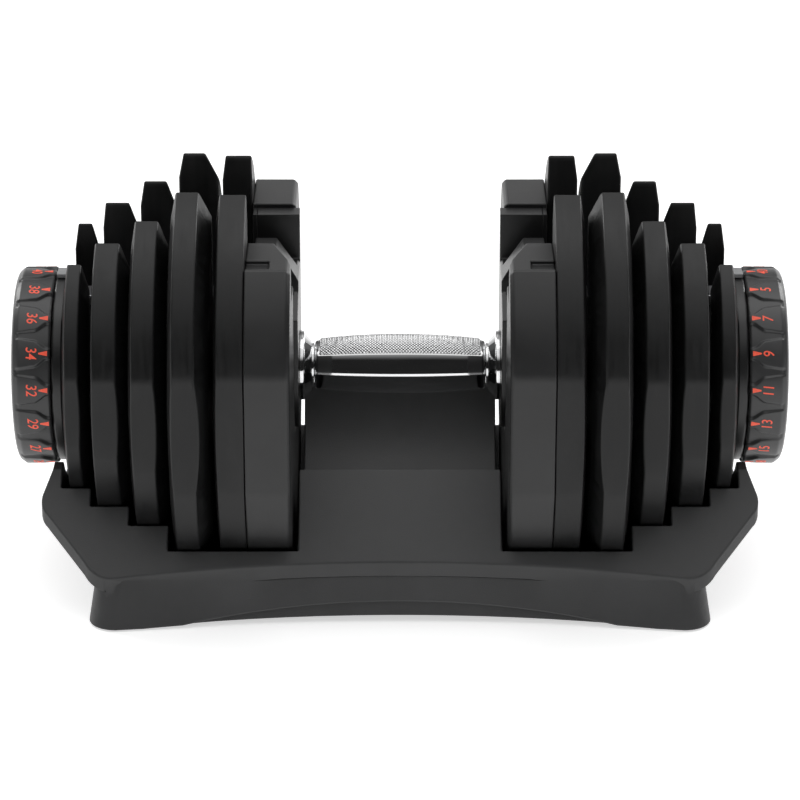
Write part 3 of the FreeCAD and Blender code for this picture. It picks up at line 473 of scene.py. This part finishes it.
def written(text):
    """A mesh of a text in the built-in face, in its own units."""
    curve = bpy.data.curves.new("digits", "FONT")
    curve.body = text
    curve.align_x = "CENTER"
    curve.shear = 0.12
    curve.offset = 0.004
    curve.extrude = 0.05
    curve.resolution_u = 4
    writing = bpy.data.objects.new("digits", curve)
    mesh = bpy.data.meshes.new_from_object(writing)
    bpy.data.objects.remove(writing)
    builder = bmesh.new()
    builder.from_mesh(mesh)
    bpy.data.meshes.remove(mesh)
    return builder


def extent(builder):
    """A mesh's lowest corner and its size."""
    low = [min(v.co[i] for v in builder.verts) for i in range(3)]
    high = [max(v.co[i] for v in builder.verts) for i in range(3)]
    return low, [h - l for l, h in zip(low, high)]


def number_scale():
    """What brings a pair of noughts in the built-in face to its size on the dial."""
    pair_width, height, thickness = 7.0 * MM, 6.2 * MM, 0.18 * MM
    measure = written("00")
    measured = extent(measure)[1]
    measure.free()
    return [wanted / size for wanted, size in zip((pair_width, height, thickness), measured)]


def digits(number, scale):
    """A thin mesh of a number, centred, in metres, cut across so that it can follow the dial."""
    weld, strip, least = 0.002 * MM, 0.9 * MM, 1e-7
    builder = written(str(number))
    low, size = extent(builder)
    for vertex in builder.verts:
        vertex.co = [(vertex.co[i] - low[i] - size[i] / 2) * scale[i] for i in range(3)]
    bmesh.ops.remove_doubles(builder, verts=builder.verts, dist=weld)
    for line in range(-4, 5):
        bmesh.ops.bisect_plane(
            builder, geom=builder.verts[:] + builder.edges[:] + builder.faces[:],
            plane_co=(line * strip, 0, 0), plane_no=(1, 0, 0), dist=least,
        )
    return builder


def wedge():
    """The tapered mark on a pad's neck; its wide end is towards the plates, up in the text."""
    length, wide, narrow, thickness = 5.0 * MM, 1.5 * MM, 0.4 * MM, 0.09 * MM
    builder = bmesh.new()
    rows = []
    for share in (0.0, 0.35, 0.7, 1.0):
        half = narrow + (wide - narrow) * share
        rows.append([
            builder.verts.new((x * half, (share - 0.5) * length, z * thickness))
            for x, z in ((-1, 1), (0, 1), (1, 1), (1, -1), (0, -1), (-1, -1))
        ])
    for row, after in zip(rows, rows[1:]):
        for j in range(6):
            k = (j + 1) % 6
            builder.faces.new((row[j], row[k], after[k], after[j]))
    builder.faces.new(rows[0])
    builder.faces.new(rows[-1])
    bmesh.ops.recalc_face_normals(builder, faces=builder.faces)
    return builder


def printed_dial(side_name, side):
    """The numbers and their wedges, wrapped on the dial's pads."""
    number_place, wedge_place, proud = 10.6 * MM, 4.0 * MM, 0.02 * MM
    scale = number_scale()
    whole = bmesh.new()
    for setting, number in enumerate(SETTINGS):
        place = setting + 1 if side > 0 else len(SETTINGS) - 1 - setting
        for builder, middle in ((digits(number, scale), number_place), (wedge(), wedge_place)):
            for vertex in builder.verts:
                across, up, out = vertex.co
                depth = middle - up
                angle = place * STEP - side * across / DIAL_RADIUS
                radius = DIAL_RADIUS + proud + out
                vertex.co = (
                    side * (DIAL_FACE + depth), -radius * math.sin(angle),
                    AXIS_Z + radius * math.cos(angle),
                )
            mesh = bpy.data.meshes.new("mark")
            builder.to_mesh(mesh)
            builder.free()
            whole.from_mesh(mesh)
            bpy.data.meshes.remove(mesh)
    bmesh.ops.recalc_face_normals(whole, faces=whole.faces)
    piece_from(whole, f"dial_numbers_{side_name}", f"dial_{side_name}", "dial_plastic", DIAL_INK_AND_GLOW)


# ---------------------------------------------------------------- pieces
EDGE_WIDTHS = {
    "plate_block": 0.9 * MM, "guard": 0.6 * MM, "guard_cover": 0.4 * MM, "index_ring": 0.5 * MM,
    "grip_collar": 0.35 * MM, "dial_cap": 0.5 * MM, "index_pointer": 0.5 * MM, "top_rail": 0.5 * MM,
}
PLATE_EDGE = 0.9 * MM
TRAY_EDGE = 0.8 * MM

grip()
for side_name, side in SIDES:
    dial(side_name, side)
    printed_dial(side_name, side)
    for key in PLATES:
        softened(f"plate_{key}_{side_name}", PLATE_EDGE)
    for part, edge in EDGE_WIDTHS.items():
        softened(f"{part}_{side_name}", edge)
softened("tray", TRAY_EDGE)


# ---------------------------------------------------------------- stage
def softbox(name, place, aim, width, height, power):
    """A soft light over a rectangle, in metres and watts."""
    light = bpy.data.lights.new(name, "AREA")
    light.shape = "RECTANGLE"
    light.size = width
    light.size_y = height
    light.energy = power
    thing = bpy.data.objects.new(name, light)
    thing.location = place
    thing.rotation_euler = (Vector(aim) - Vector(place)).to_track_quat("-Z", "Y").to_euler()
    bpy.context.scene.collection.objects.link(thing)


def floor():
    """A plain pale floor that glows a little, so that it reads as a white sweep."""
    far, glow = 8.0, 0.58
    mesh = bpy.data.meshes.new("floor")
    corners = [(-far, -far, 0), (far, -far, 0), (far, far, 0), (-far, far, 0)]
    mesh.from_pydata(corners, [], [(0, 1, 2, 3)])
    ground = bpy.data.objects.new("floor", mesh)
    bpy.context.scene.collection.objects.link(ground)
    s = Shader("floor")
    s.colour(s.ramp(s.noise(3.0), (0.3, (0.82, 0.82, 0.82)), (0.7, (0.86, 0.86, 0.86))))
    s.set(Roughness=0.8, Emission_Color=(1.0, 1.0, 1.0, 1.0), Emission_Strength=glow)
    mesh.materials.append(s.material)


def studio():
    """A white ceiling and backdrop before a dark room; the camera itself sees plain white."""
    world = bpy.data.worlds.new("studio")
    bpy.context.scene.world = world
    world.use_nodes = True
    tree = world.node_tree
    room = tree.nodes["Background"]
    direction = tree.nodes.new("ShaderNodeTexCoord").outputs["Generated"]
    split = tree.nodes.new("ShaderNodeSeparateXYZ")
    tree.links.new(direction, split.inputs[0])

    def ranged(axis, start, end, low, high):
        """Rises or falls smoothly from low to high as a direction turns along an axis."""
        node = tree.nodes.new("ShaderNodeMapRange")
        node.interpolation_type = "SMOOTHSTEP"
        for name, value in (("From Min", start), ("From Max", end), ("To Min", low), ("To Max", high)):
            node.inputs[name].default_value = value
        tree.links.new(split.outputs[axis], node.inputs["Value"])
        return node.outputs["Result"]

    def combined(operation, first, second):
        """Joins two values by an operation."""
        node = tree.nodes.new("ShaderNodeMath")
        node.operation = operation
        tree.links.new(first, node.inputs[0])
        tree.links.new(second, node.inputs[1])
        return node.outputs[0]

    dark, bright = 0.016, 0.95
    ceiling = ranged("Z", 0.50, 0.82, dark, bright)
    behind = ranged("Y", 0.10, 0.60, 0.0, 1.1)
    near_floor = ranged("Z", 0.10, 0.34, 1.0, 0.22)
    backdrop = combined("MULTIPLY", behind, near_floor)
    tree.links.new(combined("MAXIMUM", ceiling, backdrop), room.inputs["Strength"])
    room.inputs["Color"].default_value = (1.0, 1.0, 1.0, 1.0)
    plain = tree.nodes.new("ShaderNodeBackground")
    plain.inputs["Color"].default_value = (1.0, 1.0, 1.0, 1.0)
    mixed = tree.nodes.new("ShaderNodeMixShader")
    tree.links.new(tree.nodes.new("ShaderNodeLightPath").outputs["Is Camera Ray"], mixed.inputs[0])
    tree.links.new(room.outputs[0], mixed.inputs[1])
    tree.links.new(plain.outputs[0], mixed.inputs[2])
    tree.links.new(mixed.outputs[0], tree.nodes["World Output"].inputs["Surface"])
    aim = (0, 0.1, 0)
    softbox("ceiling", (0, 0.1, 1.7), aim, width=1.8, height=1.0, power=5)
    for name, side in SIDES:
        softbox(f"rear_{name}", (side * 1.5, 1.2, 1.1), aim, width=0.7, height=0.7, power=12)


def camera():
    """The camera: straight in front, about 20 degrees up and 2.05 m away, looking a little down."""
    distance, rise, tilt = 1.9248, 0.7071, 20.75
    data = bpy.data.cameras.new("camera")
    data.sensor_width = 36.0
    data.lens = 157.4
    thing = bpy.data.objects.new("camera", data)
    thing.location = (0.0, -distance, AXIS_Z + rise)
    thing.rotation_euler = (math.radians(90.0 - tilt), 0.0, 0.0)
    bpy.context.scene.collection.objects.link(thing)
    bpy.context.scene.camera = thing


floor()
studio()
camera()
bpy.context.scene.view_settings.view_transform = "Standard"
